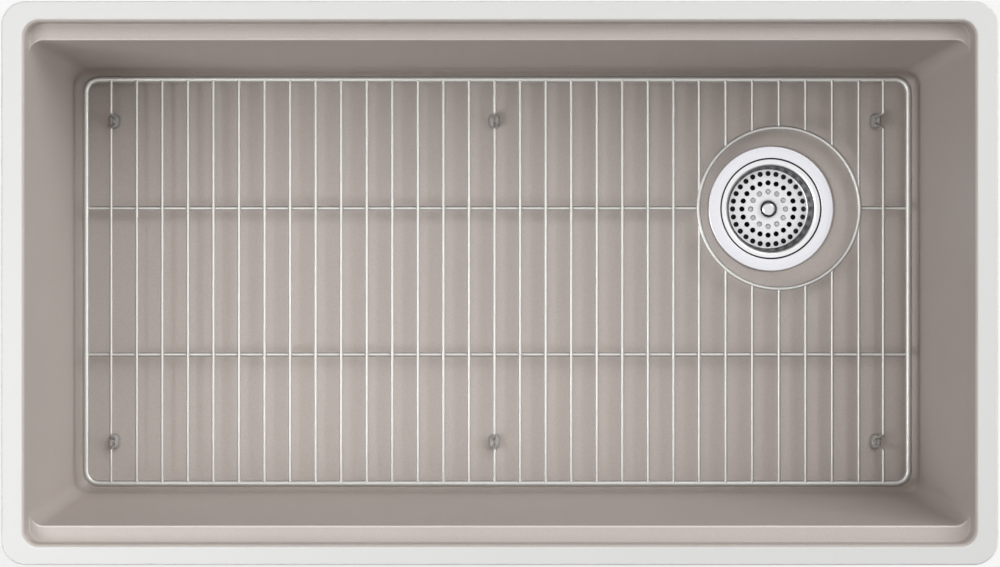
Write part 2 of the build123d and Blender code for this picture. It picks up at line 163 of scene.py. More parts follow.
class NodeDesk:
    """Adds nodes to one tree and hands back the sockets that they give out."""

    def __init__(self, tree: bpy.types.NodeTree) -> None:
        """Clears the tree that gets the nodes."""
        tree.nodes.clear()
        self.tree = tree

    @cached_property
    def place(self) -> Socket:
        """Object coordinates of the shaded point."""
        return add_node(self.tree, "ShaderNodeTexCoord").outputs["Object"]

    @cached_property
    def height(self) -> Socket:
        """Height of the shaded point."""
        return self.part(self.place, "Z")

    @cached_property
    def from_axis(self) -> Socket:
        """Level vector from the drain's axis to the shaded point."""
        shift = {"Vector": self.place, "Location": (-DRAIN_X * MM, -DRAIN_Y * MM, 0.0)}
        moved = add_node(self.tree, "ShaderNodeMapping", shift).outputs["Vector"]
        return self.vector("MULTIPLY", moved, LEVEL)

    def part(self, vector: Socket, letter: str) -> Socket:
        """Returns the X, Y or Z part of a vector."""
        return add_node(self.tree, "ShaderNodeSeparateXYZ", {"Vector": vector}).outputs[letter]

    def maths(self, operation: str, *values: Feed) -> Socket:
        """Returns what an operation makes of one or two numbers."""
        inputs = dict(enumerate(values))
        return add_node(self.tree, "ShaderNodeMath", inputs, operation=operation).outputs[0]

    def vector(self, operation: str, *values: Feed) -> Socket:
        """Returns what an operation makes of one or two vectors: a vector or a number."""
        inputs = dict(enumerate(values))
        node = add_node(self.tree, "ShaderNodeVectorMath", inputs, operation=operation)
        return node.outputs["Value" if operation in ("LENGTH", "DOT_PRODUCT") else "Vector"]

    def ramp(
        self,
        value: Feed,
        start: float = 0.0,
        end: float = 1.0,
        low: float = 0.0,
        high: float = 1.0,
        **settings: object,
    ) -> Socket:
        """Carries a value over from one range to another.

        Args:
            value: The value.
            start: Where it gives the low result.
            end: Where it gives the high one.
            low: The low result, which also holds before the start.
            high: The high result, which also holds past the end.
            settings: Properties of the node.

        Returns:
            The result.
        """
        names = ("Value", "From Min", "From Max", "To Min", "To Max")
        inputs = dict(zip(names, (value, start, end, low, high)))
        return add_node(self.tree, "ShaderNodeMapRange", inputs, **settings).outputs["Result"]

    def noise(
        self, size: float, detail: float, place: Socket | None = None, rough: float = 0.5
    ) -> Socket:
        """Returns fractal noise.

        Args:
            size: Size of its largest patches in millimetres.
            detail: Number of finer layers.
            place: Coordinates, or None for the object's own.
            rough: Share that each finer layer keeps of the one above it.

        Returns:
            Noise from 0 to 1.
        """
        inputs = {
            "Vector": self.place if place is None else place,
            "Scale": 1 / (size * MM),
            "Detail": detail,
            "Roughness": rough,
        }
        return add_node(self.tree, "ShaderNodeTexNoise", inputs).outputs["Fac"]

    def blend(self, share: Feed, first: Feed, second: Feed) -> Socket:
        """Returns a colour that goes from the first to the second as the share goes up."""
        inputs = {0: share, 6: first, 7: second}
        return add_node(self.tree, "ShaderNodeMix", inputs, data_type="RGBA").outputs[2]

    def bump(self, relief: Socket, depth: float) -> Socket:
        """Returns the normal of a relief with a depth in millimetres."""
        inputs = {"Height": relief, "Distance": depth * MM, "Strength": 1.0}
        return add_node(self.tree, "ShaderNodeBump", inputs).outputs["Normal"]

    def seen_directly(self) -> Socket:
        """Returns 1 for what the camera sees, also in metal or through glass."""
        path = add_node(self.tree, "ShaderNodeLightPath").outputs
        straight = self.maths("MAXIMUM", path["Is Camera Ray"], path["Is Glossy Ray"])
        return self.maths("MAXIMUM", straight, path["Is Transmission Ray"])

    def surface(self, **inputs: Feed) -> None:
        """Adds the surface shader and the output, from socket names with underscores."""
        named = {name.replace("_", " "): value for name, value in inputs.items()}
        shader = add_node(self.tree, "ShaderNodeBsdfPrincipled", named)
        self.show(shader.outputs["BSDF"])

    def show(self, shader: Socket) -> None:
        """Adds the material's output."""
        add_node(self.tree, "ShaderNodeOutputMaterial", {"Surface": shader})


# ---- Finishes


@dataclass(frozen=True)
class Finish:
    """A surface finish, named after what the surface is made of."""

    name: str

    @cache
    def material(self) -> bpy.types.Material:
        """Returns the finish's material."""
        material = bpy.data.materials.new(self.name)
        material.use_nodes = True
        self.shade(NodeDesk(material.node_tree))
        return material

    def shade(self, desk: NodeDesk) -> None:
        """Adds the nodes that make up the look."""
        raise NotImplementedError


@dataclass(frozen=True)
class MouldedComposite(Finish):
    """Quartz-filled acrylic composite, moulded, with its rim ground flat for the counter.

    The eye sees a matt taupe surface with a very fine mineral fleck, and a paler,
    chalky band where grinding has opened the filler along the rim's top. A paler colour
    along the ledges' chamfered edges paints the highlight that they catch.
    """

    name: str = "moulded_quartz_composite"
    body: str = "#C6BDB8"
    pale_fleck: str = "#CEC6C1"
    dark_fleck: str = "#BCB2AC"
    ground: str = "#E7E7E6"
    # Paler colour that paints the highlight along the ledges' chamfer
    painted_highlight: str = "#F1E9E4"
    roughness: float = 0.46
    ground_roughness: float = 0.72
    # Grit of the mineral filler, and the noise between its dark and its pale grains
    fleck_mm: float = 0.7
    fleck_span: tuple[float, float] = (0.34, 0.66)
    # The mould's faint orange peel
    peel_mm: float = 1.6
    peel_depth_mm: float = 0.012
    # Slow clouding of the mix, and how far it goes either way
    cloud_mm: float = 90.0
    cloud_share: float = 0.03
    # Height over which grinding gives way to the moulded lip
    ground_depth_mm: float = 0.35
    # Width of the rim's rounded outer edge, and where its ground part starts and is whole
    arris_mm: float = 2.0
    arris_foot_mm: float = -1.9
    arris_whole_mm: float = -1.2
    # Heights and half length of the chamfer along the ledges' inner edges, which gets a painted
    # highlight
    chamfer_foot_mm: float = -20.5
    chamfer_whole_mm: float = -20.1
    chamfer_top_mm: float = -19.03
    chamfer_half_mm: float = 395.5

    def shade(self, desk: NodeDesk) -> None:
        """Adds the fleck, the clouding, the ground band, the painted highlight on the ledges'
        chamfer and the peel.
        """
        fleck = desk.noise(self.fleck_mm, 3.0, rough=0.7)
        flecked = add_node(desk.tree, "ShaderNodeValToRGB", {"Fac": fleck})
        stops = flecked.color_ramp.elements
        stops[0].position, stops[1].position = self.fleck_span
        stops[0].color = linear(self.dark_fleck)
        stops[1].color = linear(self.pale_fleck)
        stops.new(0.5).color = linear(self.body)
        clouding = desk.ramp(
            desk.noise(self.cloud_mm, 2.0), low=1 - self.cloud_share, high=1 + self.cloud_share
        )
        clouded = add_node(
            desk.tree,
            "ShaderNodeVectorMath",
            {0: flecked.outputs["Color"], "Scale": clouding},
            operation="SCALE",
        ).outputs["Vector"]
        top = desk.ramp(
            desk.height,
            -self.ground_depth_mm * MM,
            -self.ground_depth_mm * MM / 4,
            interpolation_type="SMOOTHSTEP",
        )
        ground = desk.maths("MAXIMUM", top, self.arris(desk))
        # Painted highlight: the ledges' chamfer gets a paler colour
        moulded = desk.blend(self.chamfer(desk), clouded, linear(self.painted_highlight))
        desk.surface(
            Base_Color=desk.blend(ground, moulded, linear(self.ground)),
            Roughness=desk.ramp(ground, low=self.roughness, high=self.ground_roughness),
            IOR=1.5,
            Normal=desk.bump(desk.noise(self.peel_mm, 4.0), self.peel_depth_mm),
        )

    def chamfer(self, desk: NodeDesk) -> Socket:
        """Returns 1 on the chamfer along the ledges' inner edges, which gets a painted
        highlight.
        """
        above = desk.ramp(desk.height, self.chamfer_foot_mm * MM, self.chamfer_whole_mm * MM)
        below = desk.maths("LESS_THAN", desk.height, self.chamfer_top_mm * MM)
        aside = desk.maths("ABSOLUTE", desk.part(desk.place, "X"))
        inside = desk.maths("LESS_THAN", aside, self.chamfer_half_mm * MM)
        return desk.maths("MULTIPLY", desk.maths("MULTIPLY", above, below), inside)

    def arris(self, desk: NodeDesk) -> Socket:
        """Returns 1 on the rim's rounded outer edge, which is ground along with its top."""
        half = Vector((RIM_HALF_LENGTH - RIM_CORNER, RIM_HALF_WIDTH - RIM_CORNER, 0.0)) * MM
        past = desk.vector("SUBTRACT", desk.vector("ABSOLUTE", desk.place), half)
        corner = desk.vector("MAXIMUM", desk.vector("MULTIPLY", past, LEVEL), (0.0, 0.0, 0.0))
        reach = desk.vector("LENGTH", corner)
        outer = desk.maths("GREATER_THAN", reach, (RIM_CORNER - self.arris_mm) * MM)
        upper = desk.ramp(desk.height, self.arris_foot_mm * MM, self.arris_whole_mm * MM)
        return desk.maths("MULTIPLY", outer, upper)


@dataclass(frozen=True)
class BareMetal(Finish):
    """A bare metal surface with the fine marks that its making leaves."""

    colour: str
    roughness: float
    grain: Grain = Grain.EVEN
    metallic: float = 1.0
    grain_mm: float = 0.8
    grain_depth_mm: float = 0.004
    # How far the marks vary the roughness either way, and the noise that they go by
    roughness_spread: float = 0.2
    grain_span: tuple[float, float] = (0.3, 0.7)
    # Heights and colours of painted shade below the polished face, from the top down
    painted_shade_zones: tuple[tuple[float, str], ...] = ()

    def shade(self, desk: NodeDesk) -> None:
        """Adds the marks and the colour."""
        place = self.rings(desk) if self.grain is Grain.TURNED else desk.place
        marks = desk.noise(self.grain_mm, 3.0, place)
        low, high = (self.roughness * (1 + way * self.roughness_spread) for way in (-1, 1))
        desk.surface(
            Base_Color=self.painted_shade_colour(desk) if self.painted_shade_zones else linear(self.colour),
            Metallic=self.metallic,
            Roughness=desk.ramp(marks, *self.grain_span, low, high),
            Normal=desk.bump(marks, self.grain_depth_mm),
        )

    def painted_shade_colour(self, desk: NodeDesk) -> Socket:
        """Returns the metal's colour, with painted shade that changes from zone to zone down
        the part.
        """
        top, bottom = self.painted_shade_zones[0][0], self.painted_shade_zones[-1][0]
        depth = desk.ramp(desk.height, top * MM, bottom * MM)
        shades = add_node(desk.tree, "ShaderNodeValToRGB", {"Fac": depth})
        stops = shades.color_ramp.elements
        while len(stops) < len(self.painted_shade_zones):
            stops.new(1.0)
        for stop, (level, colour) in zip(stops, self.painted_shade_zones):
            stop.position = (top - level) / (top - bottom)
            stop.color = linear(colour)
        return shades.outputs["Color"]

    def rings(self, desk: NodeDesk) -> Socket:
        """Returns coordinates that are the same all round the drain's axis."""
        inputs = {"X": desk.vector("LENGTH", desk.from_axis), "Y": desk.height}
        return add_node(desk.tree, "ShaderNodeCombineXYZ", inputs).outputs["Vector"]


@dataclass(frozen=True)
class PressedSteel(Finish):
    """Stainless sheet of the basket: polished brim, drawn wall, bead-blasted plate.

    The eye sees a bright rolled brim over a wall that is painted dark for the shade and
    dark reflection that it shows, with a painted shade line at the brim's edge, and a plate
    that is evenly bright with a fine sparkle.
    """

    name: str = "pressed_stainless_sheet"
    colour: str = "#EEEEF0"
    # Painted shade: the wall that faces the axis is coloured dark for its shade and dark
    # reflection
    painted_shade_wall_colour: str = "#48494C"
    wall_roughness: float = 0.38
    plate_roughness: float = 0.42
    blast_mm: float = 0.45
    blast_depth_mm: float = 0.05
    # Where the plate ends and the brim begins, and the heights over which they fade
    plate_top_mm: float = -256.3
    plate_fade_mm: float = 0.3
    brim_under_mm: float = -231.7
    brim_fade_mm: float = 1.0
    # Radius from which the brim's edge gets a painted shade line
    painted_shade_edge_mm: float = 44.8
    painted_shade_edge_fade_mm: float = 0.2

    def shade(self, desk: NodeDesk) -> None:
        """Adds the bright parts, the painted shade on the wall and at the brim's edge, and the
        blasting.
        """
        plate = desk.ramp(
            desk.height,
            (self.plate_top_mm + self.plate_fade_mm) * MM,
            (self.plate_top_mm - self.plate_fade_mm) * MM,
        )
        blast = desk.maths("MULTIPLY", desk.noise(self.blast_mm, 2.0), plate)
        colours = linear(self.painted_shade_wall_colour), linear(self.colour)
        desk.surface(
            Base_Color=desk.blend(self.bright(desk, plate), *colours),
            Metallic=1.0,
            Roughness=desk.ramp(plate, low=self.wall_roughness, high=self.plate_roughness),
            Normal=desk.bump(blast, self.blast_depth_mm),
        )

    def bright(self, desk: NodeDesk, plate: Socket) -> Socket:
        """Returns 1 off the painted shade: plate, brim and all that faces away from the axis.

        Args:
            desk: Desk of the material.
            plate: 1 on the plate.

        Returns:
            The share of bright surface, 0 on the painted shade line at the brim's edge.
        """
        under = self.brim_under_mm
        brim = desk.ramp(desk.height, under * MM, (under + self.brim_fade_mm) * MM)
        facing = add_node(desk.tree, "ShaderNodeTexCoord").outputs["Normal"]
        away = desk.vector("DOT_PRODUCT", desk.from_axis, facing)
        outside = desk.maths("GREATER_THAN", away, 0.0)
        pressed = desk.maths("MAXIMUM", desk.maths("MAXIMUM", plate, brim), outside)
        # Painted shade line along the brim's outer edge
        unshaded_edge = desk.ramp(
            desk.vector("LENGTH", desk.from_axis),
            (self.painted_shade_edge_mm + self.painted_shade_edge_fade_mm) * MM,
            (self.painted_shade_edge_mm - self.painted_shade_edge_fade_mm) * MM,
        )
        return desk.maths("MULTIPLY", pressed, unshaded_edge)


@dataclass(frozen=True)
class MouldedPolymer(Finish):
    """A moulded rubber or plastic: coloured right through, with the mould's own texture."""

    colour: str
    mottle: str
    roughness: float
    ior: float = 1.5
    texture_mm: float = 0.5
    texture_depth_mm: float = 0.01
    mottle_mm: float = 4.0
    clearness: float = 0.0
    coat: float = 0.0
    coat_roughness: float = 0.1

    def shade(self, desk: NodeDesk) -> None:
        """Adds the mottled colour and the texture."""
        mottling = desk.noise(self.mottle_mm, 2.0)
        desk.surface(
            Base_Color=desk.blend(mottling, linear(self.colour), linear(self.mottle)),
            Roughness=self.roughness,
            IOR=self.ior,
            Transmission_Weight=self.clearness,
            Coat_Weight=self.coat,
            Coat_Roughness=self.coat_roughness,
            Normal=desk.bump(desk.noise(self.texture_mm, 3.0), self.texture_depth_mm),
        )


COMPOSITE = MouldedComposite()
PRESSED_STEEL = PressedSteel()
# Deep-turned stainless: soft bright face with rings too fine to count
TURNED_STEEL = BareMetal(
    "satin_turned_stainless",
    "#E9E9EE",
    0.28,
    Grain.TURNED,
    grain_mm=0.5,
    grain_depth_mm=0.002,
    # Face, then painted shade: near black in the brim's recess, greyer down the throat's wall,
    # dark on the seat
    painted_shade_zones=(
        (-229.3, "#E9E9EE"),
        (-229.9, "#262627"),
        (-232.0, "#262627"),
        (-233.5, "#A2A2A6"),
        (-254.0, "#8C8C90"),
        (-262.0, "#48484A"),
    ),
)
# Buffed to a mirror, so it shows the lamps and the cup's dark wall
MIRROR_STEEL = BareMetal("polished_stainless", "#E0E0E2", 0.07, grain_depth_mm=0.0005)
# Zinc-plated washer: matt and nearly white, so it takes shadows
ZINC_WASHER = BareMetal("dull_zinc_plate", "#F2F2F3", 0.6, metallic=0.25, grain_mm=0.5)
# Electropolished wire: a white glint along its top and pale grey flanks
WIRE_STEEL = BareMetal("electropolished_stainless_wire", "#CDCDCA", 0.5, grain_mm=1.2)
# Sand-cast brass: dull gold with a grainy skin
CAST_BRASS = BareMetal(
    "sand_cast_brass", "#B99A5C", 0.5, grain_mm=0.9, grain_depth_mm=0.06, roughness_spread=0.3
)
# Chromium-plated brass tube: bluish mirror with the tube's faint drawing marks
PLATED_TUBE = BareMetal(
    "chromium_plated_brass", "#D7D9DC", 0.1, Grain.TURNED, grain_mm=0.6, grain_depth_mm=0.001
)
# Clear grey rubber boot: glossy, lets a little of the wire's shade through
CLEAR_RUBBER = MouldedPolymer(
    "translucent_thermoplastic_rubber",
    "#E8E6E3",
    "#DCDAD7",
    0.2,
    ior=1.47,
    clearness=0.5,
    coat=0.4,
)
# Nitrile stopper: dense black with a dull bloom
STOPPER_RUBBER = MouldedPolymer("nitrile_rubber", "#232323", "#2C2B2A", 0.55, ior=1.52)
# Gasket rubber: cut sheet, greyer and drier
SEALING_RUBBER = MouldedPolymer(
    "neoprene_sheet", "#2E2E2F", "#39393A", 0.7, ior=1.52, texture_mm=0.35
)
# Vulcanised fibre: dry brick-brown pressed paper
FIBRE = MouldedPolymer(
    "vulcanised_fibre", "#8A4B36", "#7A4232", 0.75, texture_mm=0.3, texture_depth_mm=0.02
)
# Polypropylene: waxy off-white
POLYPROPYLENE = MouldedPolymer("moulded_polypropylene", "#E9E8E3", "#E3E1DB", 0.38, ior=1.49)


# ---- Mesh shaping


def fresh(mesh: BMesh, before: set[BMVert]) -> list[BMVert]:
    """Returns the points that a mesh has gained."""
    return [point for point in mesh.verts if point not in before]


def edges_at(points: Iterable[BMVert]) -> list[BMEdge]:
    """Returns the edges that meet in any of the points."""
    return list({edge for point in points for edge in point.link_edges})


def of_kind(items: Iterable, kind: type) -> list:
    """Returns only the points, edges or faces among mixed items."""
    return [item for item in items if isinstance(item, kind)]


def from_drain(at: Vector) -> float:
    """Returns the distance in metres of a place from the drain's axis."""
    return (at.xy - Vector((DRAIN_X, DRAIN_Y)) * MM).length


def move_to_drain(mesh: BMesh, before: set[BMVert], up: float = 0.0) -> None:
    """Moves what a mesh has gained from its own axis to the drain's.

    Args:
        mesh: The mesh.
        before: The points that stay.
        up: How far it also goes up, in millimetres.
    """
    shift = (DRAIN_X * MM, DRAIN_Y * MM, up * MM)
    bmesh.ops.translate(mesh, verts=fresh(mesh, before), vec=shift)


def soften(
    mesh: BMesh, geom: Iterable, offset: float, segments: int, affect: str = "EDGES"
) -> None:
    """Rounds or chamfers edges, or the points of a line.

    Args:
        mesh: Mesh that holds them.
        geom: The edges or points.
        offset: Distance from them at which the rounding starts, in millimetres.
        segments: Faces across it.
        affect: Blender's name of what is rounded.
    """
    bmesh.ops.bevel(
        mesh,
        geom=list(geom),
        offset=offset * MM,
        offset_type="OFFSET",
        segments=segments,
        profile=0.5,
        affect=affect,
        material=-1,
    )


def draw_outline(
    mesh: BMesh, corners: Iterable[Corner], closed: bool, x: float = 0.0, y: float = 0.0
) -> None:
    """Draws a line past corners and rounds them.

    Args:
        mesh: Mesh that gets the line.
        corners: The corners, each out along X from an upright axis.
        closed: Whether the line's end joins its start.
        x: Where the axis stands, in millimetres.
        y: Where the axis stands.
    """
    points = [
        mesh.verts.new(((x + corner.out) * MM, y * MM, corner.up * MM)) for corner in corners
    ]
    for pair in zip(points, points[1:] + (points[:1] if closed else [])):
        mesh.edges.new(pair)
    for point, corner in zip(points, corners):
        if corner.round:
            first, second = (edge.other_vert(point).co - point.co for edge in point.link_edges)
            setback = corner.round / math.tan(first.angle(second) / 2)
            steps = FINE_STEPS if corner.round > LARGE_ROUNDING else COARSE_STEPS
            soften(mesh, [point], setback, steps, "VERTICES")


def turn(mesh: BMesh, *corners: Corner, steps: int = 96, sealed: bool = True) -> None:
    """Adds a form turned once round the drain's axis.

    Args:
        mesh: Mesh that gets the form.
        corners: Its outline. One that starts on the axis is left open there.
        steps: Faces once round.
        sealed: Whether the outline's end joins its start.
    """
    before = set(mesh.verts)
    draw_outline(mesh, corners, closed=bool(sealed and corners[0].out))
    profile = fresh(mesh, before)
    bmesh.ops.spin(
        mesh,
        geom=[*profile, *edges_at(profile)],
        cent=(0, 0, 0),
        axis=UP,
        angle=math.tau,
        steps=steps,
        use_merge=True,
    )
    move_to_drain(mesh, before)


def thread(
    mesh: BMesh, root: float, crest: float, top: float, pitch: float, turns: float
) -> None:
    """Winds a screw thread's ridge down the drain's axis.

    Args:
        mesh: Mesh that gets the ridge.
        root: Radius of the thread's bottom in millimetres.
        crest: Radius of its top.
        top: Height at which it starts.
        pitch: Drop in one turn.
        turns: Number of turns.
    """
    before = set(mesh.verts)
    section = ((root, 0.0), (crest, -THREAD_CREST * pitch), (root, -THREAD_FOOT * pitch))
    points = [mesh.verts.new((out * MM, 0, (top + up) * MM)) for out, up in section]
    edges = [mesh.edges.new(pair) for pair in zip(points, points[1:] + points[:1])]
    bmesh.ops.edgeloop_fill(mesh, edges=edges)
    wound = bmesh.ops.spin(
        mesh,
        geom=[*points, *edges],
        cent=(0, 0, 0),
        axis=UP,
        dvec=(0, 0, -pitch * MM / THREAD_STEPS),
        angle=math.tau * turns,
        steps=round(THREAD_STEPS * turns),
    )
    bmesh.ops.edgeloop_fill(mesh, edges=of_kind(wound["geom_last"], BMEdge))
    move_to_drain(mesh, before)


def pierced_plate(
    mesh: BMesh,
    radius: float,
    sides: int,
    holes: Iterable[Hole],
    top: float,
    thickness: float,
    hole_edge: float,
) -> None:
    """Adds a flat plate with round holes, centred on the drain's axis.

    Args:
        mesh: Mesh that gets the plate.
        radius: Distance of its outline's corners from the axis, in millimetres.
        sides: Number of corners of its outline.
        holes: Its holes.
        top: Height of its upper face.
        thickness: Its thickness.
        hole_edge: Width of the chamfer round each hole's upper edge.
    """
    before = set(mesh.verts)
    bmesh.ops.create_circle(mesh, cap_ends=False, radius=radius * MM, segments=sides)
    for hole in holes:
        bmesh.ops.create_circle(
            mesh,
            cap_ends=False,
            radius=hole.radius * MM,
            segments=HOLE_STEPS,
            matrix=Matrix.Translation((hole.x * MM, hole.y * MM, 0)),
        )
    outline = edges_at(fresh(mesh, before))
    filled = bmesh.ops.triangle_fill(
        mesh, use_beauty=True, use_dissolve=False, edges=outline, normal=UP
    )
    faces = of_kind(filled["geom"], BMFace)
    raised = bmesh.ops.extrude_face_region(mesh, geom=faces, use_keep_orig=True)
    lower = of_kind(raised["geom"], BMVert)
    bmesh.ops.translate(mesh, verts=lower, vec=(0, 0, -thickness * MM))
    lowered = set(lower)
    rims = [
        edge
        for edge in outline
        if edge.is_valid
        and not lowered.intersection(edge.verts)
        and edge.verts[0].co.xy.length < (radius - 0.1) * MM
    ]
    soften(mesh, rims, hole_edge, 1)
    move_to_drain(mesh, before, top)


def blocks_round(
    mesh: BMesh, count: int, size: Spread, middle: Spread, edge_radius: float
) -> None:
    """Adds equal blocks with softened edges, spread evenly round the drain's axis.

    Args:
        mesh: Mesh that gets the blocks.
        count: Their number.
        size: Length of each outwards, its width and its height, in millimetres.
        middle: Its middle, outwards, sideways and up from the axis.
        edge_radius: Radius of its edges.
    """
    for index in range(count):
        before = set(mesh.verts)
        place = (
            Matrix.Translation((DRAIN_X * MM, DRAIN_Y * MM, 0))
            @ Matrix.Rotation(math.tau * index / count, 4, "Z")
            @ Matrix.Translation(Vector(middle) * MM)
            @ Matrix.Diagonal((*(side * MM for side in size), 1))
        )
        bmesh.ops.create_cube(mesh, size=1.0, matrix=place)
        soften(mesh, edges_at(fresh(mesh, before)), edge_radius, 3)


def add_piece(
    mesh: BMesh, name: str, body: Body, slot: str, finish: Finish, *stands_for: str
) -> None:
    """Closes a mesh and puts it in the scene in place of CAD nodes.

    Args:
        mesh: The finished mesh, which is freed.
        name: Name of the piece.
        body: Body that it moves with.
        slot: Not used.
        finish: Its finish.
        stands_for: CAD nodes that it replaces.
    """
    bmesh.ops.remove_doubles(mesh, verts=mesh.verts, dist=MERGE_DISTANCE * MM)
    bmesh.ops.recalc_face_normals(mesh, faces=mesh.faces)
    data = bpy.data.meshes.new(name)
    mesh.to_mesh(data)
    mesh.free()
    data.shade_smooth()
    data.set_sharp_from_angle(angle=math.radians(SHARP_ANGLE))
    data.materials.append(finish.material())
    piece = bpy.data.objects.new(name, data)
    bpy.context.scene.collection.objects.link(piece)
    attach(piece, body.value)
    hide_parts(*stands_for)
    LOG.info("%s: %d faces, for %s", name, len(data.polygons), ", ".join(stands_for))


def dress(finish: Finish, *nodes: str) -> None:
    """Gives a finish to CAD nodes whose shape is right as it is."""
    for name in nodes:
        for material_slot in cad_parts[name].material_slots:
            material_slot.material = finish.material()
        LOG.info("%s: dressed in %s", name, finish.name)


# ---- Wire work


class WireBender:
    """Bends round wire: a circle of points is pushed along runs and swung round bends."""

    # Length of a rounded end for a gauge of 1, and the girth that is left at its tip
    END_LENGTH = 0.12
    END_GIRTH = 0.72
    # Degrees in one step of a bend, and the least number of steps
    BEND_STEP = 9
    LEAST_STEPS = 3

    def __init__(
        self, mesh: BMesh, start: Vector, heading: Vector, gauge: float, sides: int
    ) -> None:
        """Starts a wire.

        Args:
            mesh: Mesh that gets the wire.
            start: Where it starts, in millimetres.
            heading: Direction in which it sets off.
            gauge: Its diameter.
            sides: Faces once round it.
        """
        self.mesh = mesh
        self.at = start.copy()
        self.heading = heading.normalized()
        self.gauge = gauge
        turn_to = self.heading.to_track_quat("Z", "Y").to_matrix().to_4x4()
        ring = bmesh.ops.create_circle(
            mesh,
            cap_ends=False,
            radius=gauge / 2 * MM,
            segments=sides,
            matrix=Matrix.Translation(start * MM) @ turn_to,
        )
        self.points: list[BMVert] = ring["verts"]
        self.edges = edges_at(self.points)

    def run(self, length: float, narrow: float = 1.0) -> None:
        """Pushes the wire straight on.

        Args:
            length: Distance in millimetres.
            narrow: Share of its girth that is left at the end of the run.
        """
        pushed = bmesh.ops.extrude_edge_only(self.mesh, edges=self.edges)["geom"]
        self.points = of_kind(pushed, BMVert)
        ends = set(self.points)
        self.edges = [edge for edge in of_kind(pushed, BMEdge) if ends.issuperset(edge.verts)]
        bmesh.ops.translate(self.mesh, verts=self.points, vec=self.heading * length * MM)
        self.at = self.at + self.heading * length
        if narrow != 1.0:
            bmesh.ops.scale(
                self.mesh,
                verts=self.points,
                vec=(narrow, narrow, narrow),
                space=Matrix.Translation(-self.at * MM),
            )

    def bend(self, towards: Vector, radius: float) -> None:
        """Swings the wire round until it heads another way.

        Args:
            towards: Its new heading.
            radius: Bend radius at the wire's middle, in millimetres.
        """
        axis = self.heading.cross(towards).normalized()
        angle = self.heading.angle(towards)
        middle = self.at + axis.cross(self.heading) * radius
        swung = bmesh.ops.spin(
            self.mesh,
            geom=[*self.points, *self.edges],
            cent=middle * MM,
            axis=axis,
            angle=angle,
            steps=max(self.LEAST_STEPS, round(math.degrees(angle) / self.BEND_STEP)),
        )["geom_last"]
        self.points = of_kind(swung, BMVert)
        self.edges = of_kind(swung, BMEdge)
        self.at = middle + Matrix.Rotation(angle, 3, axis) @ (self.at - middle)
        self.heading = towards.normalized()

    def follow(self, corners: Iterable[Vector], radius: float) -> None:
        """Runs past corners, rounding each but the last.

        Args:
            corners: The corners of the wire's middle line, in millimetres.
            radius: Bend radius at every corner.
        """
        stops = list(corners)
        for corner, beyond in zip(stops, stops[1:]):
            towards = (beyond - corner).normalized()
            setback = radius * math.tan(self.heading.angle(towards) / 2)
            self.run((corner - self.at).length - setback)
            self.bend(towards, radius)
        self.run((stops[-1] - self.at).length)

    def close_end(self) -> None:
        """Rounds the wire's end over and fills it."""
        self.run(self.gauge * self.END_LENGTH, narrow=self.END_GIRTH)
        bmesh.ops.edgeloop_fill(self.mesh, edges=self.edges)


def cut_wire(mesh: BMesh, start: Vector, end: Vector, gauge: float, sides: int) -> None:
    """Adds a straight piece of wire with both its ends rounded over.

    Args:
        mesh: Mesh that gets the wire.
        start: One end of it, in millimetres.
        end: The other end.
        gauge: Its diameter.
        sides: Faces once round it.
    """
    heading = (end - start).normalized()
    half = (end - start).length / 2 - gauge * WireBender.END_LENGTH
    part = bmesh.new()
    for direction in (heading, -heading):
        wire = WireBender(part, (start + end) / 2, direction, gauge, sides)
        wire.run(half)
        wire.close_end()
    carrier = bpy.data.meshes.new("carrier")
    part.to_mesh(carrier)
    part.free()
    mesh.from_mesh(carrier)
    bpy.data.meshes.remove(carrier)


def weld_bead(mesh: BMesh, at: Spread, reach: Spread) -> None:
    """Adds the small swelling that a resistance weld squeezes out.

    Args:
        mesh: Mesh that gets the bead.
        at: Its middle, in millimetres.
        reach: How far it reaches each way.
    """
    place = Matrix.Translation(Vector(at) * MM) @ Matrix.Diagonal((*(r * MM for r in reach), 1))
    bmesh.ops.create_uvsphere(
        mesh, u_segments=BEAD_STEPS, v_segments=BEAD_ROWS, radius=1.0, matrix=place
    )


# ---- Sub-assemblies


@dataclass
class Bowl:
    """The moulded bowl and the seal in its recess, both shaped in the CAD."""

    def build(self) -> None:
        """Dresses the bowl and its seal."""
        dress(COMPOSITE, "sink_bowl")
        dress(SEALING_RUBBER, "flange_seal")


